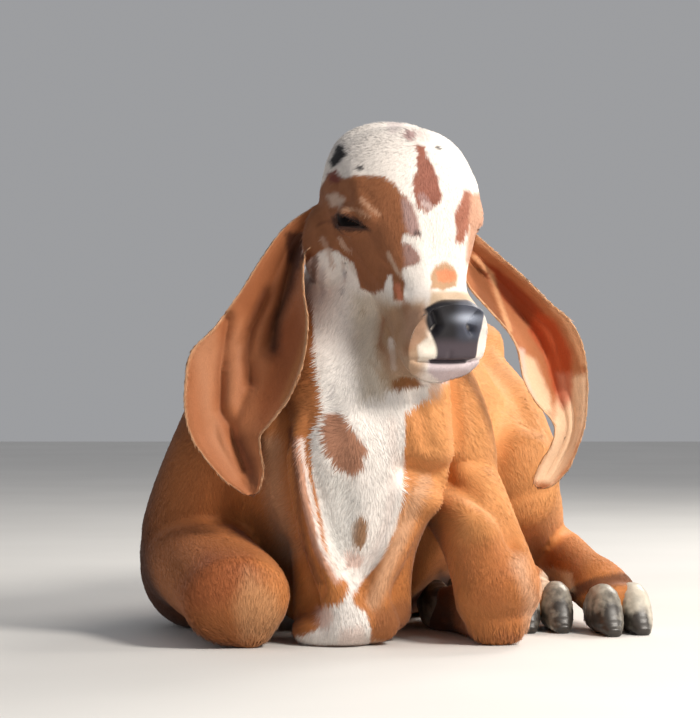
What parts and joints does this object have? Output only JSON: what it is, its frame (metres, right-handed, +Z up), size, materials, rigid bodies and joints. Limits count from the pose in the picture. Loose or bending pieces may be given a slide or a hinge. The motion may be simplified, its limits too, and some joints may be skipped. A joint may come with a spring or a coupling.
{
  "type": "gir calf model",
  "caption": "Life-size calf of a long-eared humped breed lying on its brisket, head up, knees folded forward and hind legs to one side.",
  "frame": {"origin": "on the floor, under the middle of the calf's bounding box", "axes": "+Z up, -Y the way the calf's body faces, +X the calf's left side"},
  "size_m": [0.5392, 0.8026, 0.5264],
  "materials": {
    "coat": "short reddish tan fur, white with brown patches on face, throat and breast",
    "eye": "wet dark brown",
    "horn": "dull dark grey claw horn, paler at the coronet",
    "hair": "long dark brown hair of the tail switch"
  },
  "bodies": {
    "root": {"cannon_fore_left": "coat", "cannon_fore_right": "coat", "cannon_hind_left": "coat", "cannon_hind_right": "coat", "claw_fore_left_inner": "horn", "claw_fore_left_outer": "horn", "claw_fore_right_inner": "horn", "claw_fore_right_outer": "horn", "claw_hind_left_inner": "horn", "claw_hind_left_outer": "horn", "claw_hind_right_inner": "horn", "claw_hind_right_outer": "horn", "ear_left": "coat", "ear_right": "coat", "eye_left": "eye", "eye_right": "eye", "forearm_left": "coat", "forearm_right": "coat", "head": "coat", "neck": "coat", "shank_left": "coat", "tail": "coat", "tail_switch": "hair", "thigh_left": "coat", "thigh_right": "coat", "torso": "coat"}
  },
  "joints": []
}
